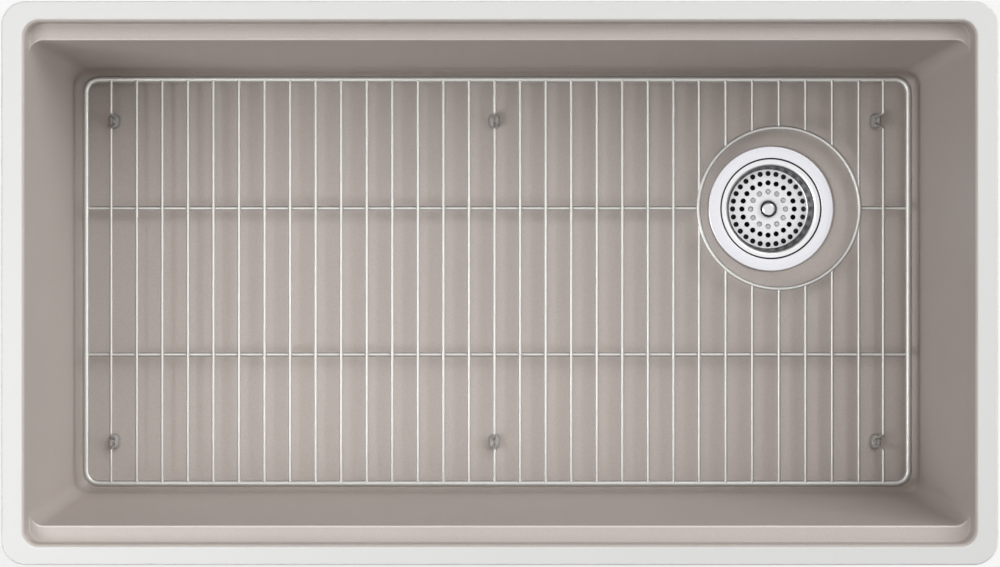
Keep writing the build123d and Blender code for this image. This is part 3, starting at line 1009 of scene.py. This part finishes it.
@dataclass
class BottomRack:
    """The wire rack that protects the floor, with its six boots. Sizes in millimetres."""

    frame_half_length: float = 372.4
    frame_half_width: float = 183.0
    frame_corner: float = 12.0
    frame_wire: float = 6.0
    frame_z: float = -207.0
    rod_wire: float = 4.0
    rod_y: float = 66.3
    rod_z: float = -208.75
    bar_wire: float = 3.0
    bar_z: float = -205.25
    weld_reach: float = 1.0
    end_bar_x: float = 349.4
    left_gap_count: int = 23
    ring_gap_count: int = 6
    ring_x: float = 254.9
    ring_radius: float = 73.0
    ring_wire: float = 4.0
    ring_steps: int = 120
    ring_side_bar_offset: float = 72.25
    leg_y: float = 145.8
    leg_top_half: float = 6.5
    leg_bottom_half: float = 2.6
    leg_drop: float = 17.25
    leg_bend: float = 2.6
    left_lean: float = 1.0
    right_lean: float = 5.0
    boot_half_gap: float = 1.9
    boot_height: float = 10.0
    boot_steps: int = 14
    # How far the weld beads reach along X, Y and Z
    ring_to_rod_bead: Spread = (2.3, 2.0, 0.9)
    rod_end_bead: Spread = (2.4, 2.5, 2.0)
    bar_to_ring_bead: Spread = (1.8, 1.8, 1.3)
    bar_end_bead: Spread = (1.9, 1.5, 1.2)
    crossing_bead: Spread = (1.75, 1.9, 0.8)

    def __post_init__(self) -> None:
        """Works out where the bars stand."""
        field_x = self.ring_x - self.ring_side_bar_offset
        left_pitch = (field_x + self.end_bar_x) / self.left_gap_count
        ring_pitch = 2 * self.ring_side_bar_offset / self.ring_gap_count
        left = [left_pitch * step - self.end_bar_x for step in range(self.left_gap_count)]
        over_ring = [field_x + ring_pitch * step for step in range(self.ring_gap_count + 1)]
        middle = min(left, key=abs)
        self.plain_bars = [x for x in left[1:] + over_ring if x != middle]
        self.leg_bars = (
            (-self.end_bar_x, self.left_lean),
            (middle, 0.0),
            (self.end_bar_x, -self.right_lean),
        )
        self.bar_end = self.frame_half_width - self.weld_reach

    def build(self) -> None:
        """Builds the rack's wires and boots."""
        self.build_frame()
        self.build_ring()
        self.build_rods()
        self.build_bars()
        self.build_leg_bars()
        self.build_boots()

    def add_wires(self, mesh: BMesh, name: str, node: str) -> None:
        """Puts wires in the scene in place of a CAD node."""
        add_piece(mesh, name, Body.RACK, "rack_steel", WIRE_STEEL, node)

    def build_frame(self) -> None:
        """Bends the outer frame from one wire."""
        mesh = bmesh.new()
        x, y, z = self.frame_half_length, self.frame_half_width, self.frame_z
        start = Vector((0, -y, z))
        wire = WireBender(mesh, start, Vector((1, 0, 0)), self.frame_wire, THICK_SIDES)
        corners = ((x, -y), (x, y), (-x, y), (-x, -y), (0, -y))
        wire.follow([Vector((*corner, z)) for corner in corners], self.frame_corner)
        self.add_wires(mesh, "rack_frame_wire", "rack_frame")

    def build_ring(self) -> None:
        """Bends the ring that goes round the drain."""
        mesh = bmesh.new()
        start = Vector((self.ring_x, self.rod_y - self.ring_radius, self.bar_z))
        ring = WireBender(mesh, start, Vector((1, 0, 0)), self.ring_wire, THICK_SIDES)
        bmesh.ops.spin(
            mesh,
            geom=[*ring.points, *ring.edges],
            cent=Vector((self.ring_x, self.rod_y, self.bar_z)) * MM,
            axis=UP,
            angle=math.tau,
            steps=self.ring_steps,
            use_merge=True,
        )
        self.add_wires(mesh, "rack_ring_wire", "rack_drain_ring")

    def build_rods(self) -> None:
        """Cuts the long rods; the back one stops at the ring on both sides."""
        mesh = bmesh.new()
        end = self.frame_half_length - self.weld_reach
        ring_left = self.ring_x - self.ring_radius
        ring_right = self.ring_x + self.ring_radius
        for start_x, end_x, y in (
            (-end, end, -self.rod_y),
            (-end, ring_left, self.rod_y),
            (ring_right, end, self.rod_y),
        ):
            ends = (Vector((x, y, self.rod_z)) for x in (start_x, end_x))
            cut_wire(mesh, *ends, self.rod_wire, ROD_SIDES)
        for x in (ring_left, ring_right):
            weld_bead(mesh, (x, self.rod_y, self.rod_z + 1.6), self.ring_to_rod_bead)
        for x in (-end, end):
            for y in (-self.rod_y, self.rod_y):
                weld_bead(mesh, (x, y, self.rod_z + 0.6), self.rod_end_bead)
        self.add_wires(mesh, "rack_rod_wires", "rack_long_rods")

    def ring_gap(self, x: float) -> float:
        """Returns half of the gap that the ring leaves in a bar, or 0 where they don't meet."""
        reach = self.ring_radius + self.ring_wire / 2 - self.weld_reach
        aside = abs(x - self.ring_x)
        return math.sqrt(reach**2 - aside**2) if aside < reach else 0.0

    def build_bars(self) -> None:
        """Cuts the plain cross bars, which stop at the ring."""
        mesh = bmesh.new()
        for x in self.plain_bars:
            gap = self.ring_gap(x)
            at_ring = [self.rod_y - gap, self.rod_y + gap] if gap else []
            stops = [-self.bar_end, *at_ring, self.bar_end]
            for pair in zip(stops[::2], stops[1::2]):
                ends = (Vector((x, y, self.bar_z)) for y in pair)
                cut_wire(mesh, *ends, self.bar_wire, BAR_SIDES)
            self.weld_bar(mesh, x)
            for y in at_ring:
                weld_bead(mesh, (x, y, self.bar_z), self.bar_to_ring_bead)
        self.add_wires(mesh, "rack_bar_wires", "rack_cross_bars")

    def weld_bar(self, mesh: BMesh, x: float) -> None:
        """Adds the beads where a bar meets the frame and crosses the rods."""
        for side in (-1, 1):
            end = (x, side * (self.bar_end - 1.6), self.bar_z - 0.5)
            weld_bead(mesh, end, self.bar_end_bead)
            if side < 0 or not self.ring_gap(x):
                crossing = (x, side * self.rod_y, self.bar_z - self.bar_wire / 2)
                weld_bead(mesh, crossing, self.crossing_bead)

    def build_leg_bars(self) -> None:
        """Bends the three bars that dip into the rack's legs."""
        mesh = bmesh.new()
        top = self.bar_z
        bottom = top - self.leg_drop
        for x, lean in self.leg_bars:
            corners = [
                Vector((x + aside, side * self.leg_y + step, z))
                for side in (-1, 1)
                for aside, step, z in (
                    (0.0, -self.leg_top_half, top),
                    (lean, -self.leg_bottom_half, bottom),
                    (lean, self.leg_bottom_half, bottom),
                    (0.0, self.leg_top_half, top),
                )
            ]
            halfway = Vector((x, 0, top))
            for way, legs in ((-1, corners[3::-1]), (1, corners[4:])):
                heading = Vector((0, way, 0))
                wire = WireBender(mesh, halfway, heading, self.bar_wire, BAR_SIDES)
                reach = self.bar_end - self.bar_wire * wire.END_LENGTH
                wire.follow([*legs, halfway + heading * reach], self.leg_bend)
                wire.close_end()
            self.weld_bar(mesh, x)
        self.add_wires(mesh, "rack_leg_wires", "rack_leg_bars")

    def build_boots(self) -> None:
        """Moulds the six boots: a rounded pad swept round the leg, with a slit on top."""
        for side, (x, lean) in zip(("left", "middle", "right"), self.leg_bars):
            for row, y in (("front", -self.leg_y), ("back", self.leg_y)):
                mesh = bmesh.new()
                self.sweep_boot(mesh, x + lean, y)
                node = f"rack_boot_{row}_{side}"
                add_piece(mesh, f"{node}_rubber", Body.RACK, "boot_rubber", CLEAR_RUBBER, node)

    def sweep_boot(self, mesh: BMesh, x: float, y: float) -> None:
        """Sweeps a boot's outline round its two end centres.

        Args:
            mesh: Mesh that gets the boot.
            x: Middle of the boot, in millimetres.
            y: Middle of the boot.
        """
        top = FLOOR_Z + self.boot_height
        outline = (
            Corner(0.0, top - 3.0),
            Corner(0.95, top - 3.0),
            Corner(1.15, top, 0.4),
            Corner(4.45, top, 2.2),
            Corner(5.5, FLOOR_Z, 1.0),
            Corner(0.0, FLOOR_Z),
        )
        draw_outline(mesh, outline, False, x, y + self.boot_half_gap)
        section: list = [*mesh.verts, *mesh.edges]
        for side in (1, -1):
            centre = (x * MM, (y + side * self.boot_half_gap) * MM, 0)
            across = (0, -side * 2 * self.boot_half_gap * MM, 0)
            for cent, dvec, angle, steps in (
                (centre, (0, 0, 0), math.pi, self.boot_steps),
                ((0, 0, 0), across, 0.0, 1),
            ):
                section = bmesh.ops.spin(
                    mesh, geom=section, cent=cent, axis=UP, dvec=dvec, angle=angle, steps=steps
                )["geom_last"]


@dataclass
class Strainer:
    """The strainer body in the bowl's drain hole and the cross in its outlet."""

    neck_root: float = 42.4
    neck_crest: float = 43.0
    outlet_root: float = 22.9
    outlet_crest: float = 23.65
    # How far a thread's ridge sinks into the wall that it stands on
    thread_sink: float = 0.1
    spoke_count: int = 4

    def build(self) -> None:
        """Builds the strainer body and its cross."""
        self.build_body()
        self.build_cross()

    def build_body(self) -> None:
        """Turns the flange, throat, seat and outlet, and winds both threads."""
        mesh = bmesh.new()
        turn(
            mesh,
            Corner(57.15, -228.4, 0.9),
            Corner(46.2, -228.4, 0.3),
            Corner(46.2, -230.6),
            Corner(41.3, -230.6, 1.6),
            Corner(41.3, -270.4, 9.0),
            Corner(20.5, -270.4, 0.8),
            Corner(20.5, -304.4, 0.3),
            Corner(self.outlet_crest, -304.4, 0.6),
            Corner(self.outlet_crest, -303.0),
            Corner(self.outlet_root, -302.6),
            Corner(self.outlet_root, -272.0, 0.8),
            Corner(self.neck_crest, -272.0, 10.6),
            Corner(self.neck_crest, -261.0),
            Corner(self.neck_root, -260.6),
            Corner(self.neck_root, -242.4),
            Corner(self.neck_crest, -242.0),
            Corner(self.neck_crest, -232.2),
            Corner(46.9, -232.2),
            Corner(48.5, -230.0),
            Corner(57.15, -230.0, 0.3),
            steps=128,
        )
        thread(mesh, self.neck_root - self.thread_sink, self.neck_crest, -242.4, 2.5, 6.8)
        thread(mesh, self.outlet_root - self.thread_sink, self.outlet_crest, -276.0, 2.2, 11.8)
        add_piece(
            mesh, "strainer_shell", Body.SINK, "satin_steel", TURNED_STEEL, "strainer_body"
        )

    def build_cross(self) -> None:
        """Builds the four spokes and the guide ring."""
        mesh = bmesh.new()
        turn(
            mesh,
            Corner(4.3, -278.4, 0.4),
            Corner(7.0, -278.4, 0.5),
            Corner(7.0, -282.4, 0.5),
            Corner(4.3, -282.4, 0.4),
            steps=48,
        )
        blocks_round(mesh, self.spoke_count, (14.2, 2.5, 4.0), (13.4, 0.0, -280.4), 0.4)
        add_piece(mesh, "outlet_spokes", Body.SINK, "satin_steel", TURNED_STEEL, "outlet_cross")


@dataclass
class StrainerBasket:
    """The lift-out basket: pressed cup, knob, post and the stopper stack below."""

    plate_z: float = -256.8
    sheet: float = 0.8
    plate_edge: float = 35.6
    hole_radius: float = 2.3
    # Radius and number of holes of each ring
    hole_rings: tuple[tuple[float, int], ...] = ((32.7, 28), (24.1, 20), (16.0, 12))
    hole_chamfer: float = 0.22
    post_radius: float = 3.0
    steps: int = 128
    nut_half_width: float = 5.0
    nut_top: float = -263.0
    nut_height: float = 5.0
    nut_chamfer: float = 0.3
    nut_rounding: float = 0.35
    # The nut's outer edges lie farther out than this, and meet at more than this angle
    nut_edge_from: float = 5.5
    nut_edge_angle: float = 50.0

    def build(self) -> None:
        """Builds the basket's pieces from the top down."""
        self.build_cup()
        self.build_knob()
        self.build_post()
        self.build_stopper()
        self.build_nut()
        dress(POLYPROPYLENE, "basket_spacer")
        dress(ZINC_WASHER, "backing_washer")

    def holes(self) -> list[Hole]:
        """Returns the three rings of drain holes and the post's hole."""
        drains = [
            Hole(
                ring * math.cos(math.tau * index / count),
                ring * math.sin(math.tau * index / count),
                self.hole_radius,
            )
            for ring, count in self.hole_rings
            for index in range(count)
        ]
        return [*drains, Hole(0.0, 0.0, self.post_radius)]

    def build_cup(self) -> None:
        """Draws the cup's wall and brim and joins them to its pierced plate."""
        mesh = bmesh.new()
        under = self.plate_z - self.sheet
        rim = self.plate_edge
        pierced_plate(
            mesh, rim, self.steps, self.holes(), self.plate_z, self.sheet, self.hole_chamfer
        )
        side = [
            face
            for face in mesh.faces
            if abs(face.normal.z) < 0.1
            and from_drain(face.calc_center_median()) > (rim - 0.1) * MM
        ]
        bmesh.ops.delete(mesh, geom=side, context="FACES_ONLY")
        turn(
            mesh,
            Corner(rim, self.plate_z),
            Corner(36.9, self.plate_z, 1.6),
            Corner(38.95, -229.8, 3.2),
            Corner(45.45, -229.8, 0.38),
            Corner(45.45, -230.6, 0.38),
            Corner(39.75, -230.6, 2.4),
            Corner(37.7, under, 2.4),
            Corner(rim, under),
            steps=self.steps,
            sealed=False,
        )
        add_piece(
            mesh, "basket_pressing", Body.BASKET, "basket_steel", PRESSED_STEEL, "basket_cup"
        )

    def build_knob(self) -> None:
        """Turns the domed knob with its undercut grip."""
        mesh = bmesh.new()
        turn(
            mesh,
            Corner(0.0, -248.2),
            Corner(8.35, -248.2, 5.0),
            Corner(8.35, -255.2, 0.8),
            Corner(6.2, -255.2, 0.3),
            Corner(6.2, self.plate_z),
            Corner(self.post_radius, self.plate_z),
            Corner(self.post_radius, -250.6),
            Corner(0.0, -250.6),
            steps=64,
        )
        add_piece(
            mesh, "basket_grip", Body.BASKET, "polished_knob", MIRROR_STEEL, "basket_knob"
        )

    def build_post(self) -> None:
        """Turns the post with its rounded tip and the thread under the nut."""
        mesh = bmesh.new()
        turn(
            mesh,
            Corner(0.0, -250.6),
            Corner(self.post_radius, -250.6),
            Corner(self.post_radius, -267.9, 0.3),
            Corner(2.7, -268.2),
            Corner(2.7, -276.2),
            Corner(self.post_radius, -276.6, 0.3),
            Corner(self.post_radius, -286.4, 1.4),
            Corner(0.0, -286.4),
            steps=32,
        )
        thread(mesh, 2.65, self.post_radius, -268.2, 1.0, 7.6)
        add_piece(
            mesh, "basket_stem", Body.BASKET, "basket_steel", PRESSED_STEEL, "basket_post"
        )

    def build_stopper(self) -> None:
        """Turns the stopper with its sealing lip and the dish inside it."""
        mesh = bmesh.new()
        turn(
            mesh,
            Corner(self.post_radius, -260.3),
            Corner(19.0, -260.3, 1.2),
            Corner(28.0, -267.0, 1.2),
            Corner(28.0, -270.4, 0.5),
            Corner(25.0, -270.4, 0.6),
            Corner(25.0, -267.0, 1.0),
            Corner(8.0, self.nut_top, 1.5),
            Corner(self.post_radius, self.nut_top),
        )
        slot = node = "stopper_rubber"
        add_piece(mesh, "stopper_disc", Body.BASKET, slot, STOPPER_RUBBER, node)

    def build_nut(self) -> None:
        """Cuts the hexagon nut that holds the stopper on the post."""
        mesh = bmesh.new()
        across_corners = self.nut_half_width / math.cos(math.pi / 6)
        bore = [Hole(0.0, 0.0, self.post_radius)]
        pierced_plate(
            mesh, across_corners, 6, bore, self.nut_top, self.nut_height, self.nut_chamfer
        )
        outer = [
            edge
            for edge in mesh.edges
            if len(edge.link_faces) == 2
            and edge.calc_face_angle(0.0) > math.radians(self.nut_edge_angle)
            and min(from_drain(point.co) for point in edge.verts) > self.nut_edge_from * MM
        ]
        soften(mesh, outer, self.nut_rounding, 2)
        add_piece(mesh, "stopper_nut", Body.BASKET, "basket_steel", PRESSED_STEEL, "post_nut")


@dataclass
class UnderBowlDrain:
    """What clamps the strainer from below, and the tailpiece that hangs from it."""

    lug_count: int = 6
    rib_count: int = 8

    def build(self) -> None:
        """Builds the clamping parts, the tailpiece and its nut."""
        dress(SEALING_RUBBER, "under_gasket")
        dress(FIBRE, "friction_washer")
        dress(POLYPROPYLENE, "tailpiece_washer")
        self.build_lock_nut()
        self.build_tailpiece()
        self.build_coupling_nut()

    def build_lock_nut(self) -> None:
        """Casts the lock nut with its flange and lugs."""
        mesh = bmesh.new()
        turn(
            mesh,
            Corner(43.1, -245.0),
            Corner(55.0, -245.0, 0.5),
            Corner(55.0, -247.5, 0.7),
            Corner(51.0, -247.5, 0.8),
            Corner(51.0, -257.0, 1.2),
            Corner(43.1, -257.0, 0.6),
        )
        blocks_round(mesh, self.lug_count, (8.5, 11.0, 12.0), (52.75, 0.0, -251.0), 1.2)
        add_piece(mesh, "cast_lock_nut", Body.SINK, "cast_brass", CAST_BRASS, "lock_nut")

    def build_tailpiece(self) -> None:
        """Forms the tailpiece tube and its flange."""
        mesh = bmesh.new()
        turn(
            mesh,
            Corner(17.85, -306.4, 0.4),
            Corner(22.7, -306.4, 0.3),
            Corner(22.7, -308.4, 0.3),
            Corner(19.05, -308.4),
            Corner(19.05, -408.0, 0.3),
            Corner(17.85, -408.0, 0.2),
        )
        add_piece(mesh, "tailpiece_tube", Body.SINK, "plated_tube", PLATED_TUBE, "tailpiece")

    def build_coupling_nut(self) -> None:
        """Moulds the coupling nut with its grip ribs."""
        mesh = bmesh.new()
        turn(
            mesh,
            Corner(23.75, -290.4, 0.4),
            Corner(28.5, -290.4, 1.5),
            Corner(28.5, -311.4, 1.5),
            Corner(19.75, -311.4, 0.4),
            Corner(19.75, -308.4),
            Corner(23.75, -308.4),
        )
        blocks_round(mesh, self.rib_count, (5.0, 7.0, 18.0), (28.5, 0.0, -300.9), 0.9)
        name, node = "moulded_coupling_nut", "coupling_nut"
        add_piece(mesh, name, Body.SINK, "white_plastic", POLYPROPYLENE, node)


# ---- Studio


@dataclass
class SoftBox:
    """A square soft lamp that hangs in the studio, in metres and watts."""

    name: str
    place: Spread
    size: float
    power: float
    aim: Spread = (0.0, 0.0, 0.0)
    # Off for the lamps over the bowl, since level metal already mirrors the white studio
    in_metal: bool = True

    def build(self) -> None:
        """Hangs the lamp and turns it to its aim."""
        lamp = bpy.data.lights.new(self.name, "AREA")
        lamp.shape = "SQUARE"
        lamp.size = self.size
        lamp.energy = self.power
        holder = bpy.data.objects.new(self.name, lamp)
        bpy.context.scene.collection.objects.link(holder)
        holder.location = self.place
        towards = Vector(self.aim) - Vector(self.place)
        holder.rotation_euler = towards.to_track_quat("-Z", "Y").to_euler()
        holder.visible_camera = False
        holder.visible_glossy = self.in_metal
        LOG.info("%s: %.0f W", self.name, self.power)


@dataclass
class Studio:
    """Pale floor, white surroundings and soft lamps, in metres."""

    floor_z: float = -0.4085
    floor_half: float = 4.0
    floor_colour: str = "#F7F7F7"
    floor_roughness: float = 0.9
    # Share of plain white in what the camera sees of the floor; the rest takes shadows
    floor_white: float = 0.75
    ambient: float = 0.02
    lamps: tuple[SoftBox, ...] = (
        SoftBox("high_back", (0.0, 1.4, 4.0), 2.2, 21.0, in_metal=False),
        SoftBox("high_back_right", (1.3, 1.3, 4.0), 2.2, 36.0, in_metal=False),
        SoftBox("right", (2.6, 0.0, 1.3), 1.8, 27.0),
        SoftBox("back_right", (2.0, 2.0, 2.4), 2.4, 48.0),
        SoftBox("left", (-2.6, 0.0, 1.0), 1.6, 5.0),
        SoftBox("near_left", (-1.0, -0.3, 1.1), 0.8, 10.0, aim=(-0.3, 0.0, 0.0)),
    )

    def build(self) -> None:
        """Builds the floor, the world and the lamps."""
        self.build_floor()
        self.build_world()
        for lamp in self.lamps:
            lamp.build()

    def build_floor(self) -> None:
        """Lays the floor, which keeps the sink's shadow."""
        mesh = bmesh.new()
        bmesh.ops.create_grid(
            mesh,
            x_segments=1,
            y_segments=1,
            size=self.floor_half,
            matrix=Matrix.Translation((0, 0, self.floor_z)),
        )
        data = bpy.data.meshes.new("studio_floor")
        mesh.to_mesh(data)
        mesh.free()
        material = bpy.data.materials.new("matt_white_paper")
        material.use_nodes = True
        desk = NodeDesk(material.node_tree)
        look = {"Base Color": linear(self.floor_colour), "Roughness": self.floor_roughness}
        paper = add_node(desk.tree, "ShaderNodeBsdfPrincipled", look)
        white = add_node(desk.tree, "ShaderNodeEmission", {"Color": WHITE, "Strength": 1.0})
        share = desk.maths("MULTIPLY", desk.seen_directly(), self.floor_white)
        layers = {0: share, 1: paper.outputs["BSDF"], 2: white.outputs["Emission"]}
        desk.show(add_node(desk.tree, "ShaderNodeMixShader", layers).outputs["Shader"])
        data.materials.append(material)
        floor = bpy.data.objects.new("studio_floor", data)
        bpy.context.scene.collection.objects.link(floor)

    def build_world(self) -> None:
        """Surrounds the sink with white, dimmer for what it lights."""
        world = bpy.data.worlds.new("white_studio")
        bpy.context.scene.world = world
        world.use_nodes = True
        desk = NodeDesk(world.node_tree)
        strength = desk.ramp(desk.seen_directly(), low=self.ambient)
        glow = {"Color": WHITE, "Strength": strength}
        sky = add_node(desk.tree, "ShaderNodeBackground", glow).outputs["Background"]
        add_node(desk.tree, "ShaderNodeOutputWorld", {"Surface": sky})


@dataclass
class ProductCamera:
    """The camera straight above the bowl, as for a plan view. Lens and sensor in mm."""

    place: Spread = (-0.0296, 0.020, 2.670)
    lens: float = 114.4
    sensor: float = 36.0
    shift: tuple[float, float] = (0.0355, -0.0242)
    reach: float = 50.0

    def build(self) -> None:
        """Puts the camera in place and makes it the scene's."""
        lens = bpy.data.cameras.new("product_camera")
        lens.lens = self.lens
        lens.sensor_width = self.sensor
        lens.sensor_fit = "HORIZONTAL"
        lens.shift_x, lens.shift_y = self.shift
        lens.clip_end = self.reach
        holder = bpy.data.objects.new("product_camera", lens)
        bpy.context.scene.collection.objects.link(holder)
        holder.location = self.place
        bpy.context.scene.camera = holder
        bpy.context.scene.view_settings.view_transform = "Standard"


def main() -> None:
    """Builds the camera, the studio and every sub-assembly."""
    logging.basicConfig(level=logging.INFO, format="%(message)s")
    for assembly in (
        ProductCamera(),
        Studio(),
        Bowl(),
        BottomRack(),
        Strainer(),
        StrainerBasket(),
        UnderBowlDrain(),
    ):
        assembly.build()


if __name__ == "__main__":
    main()
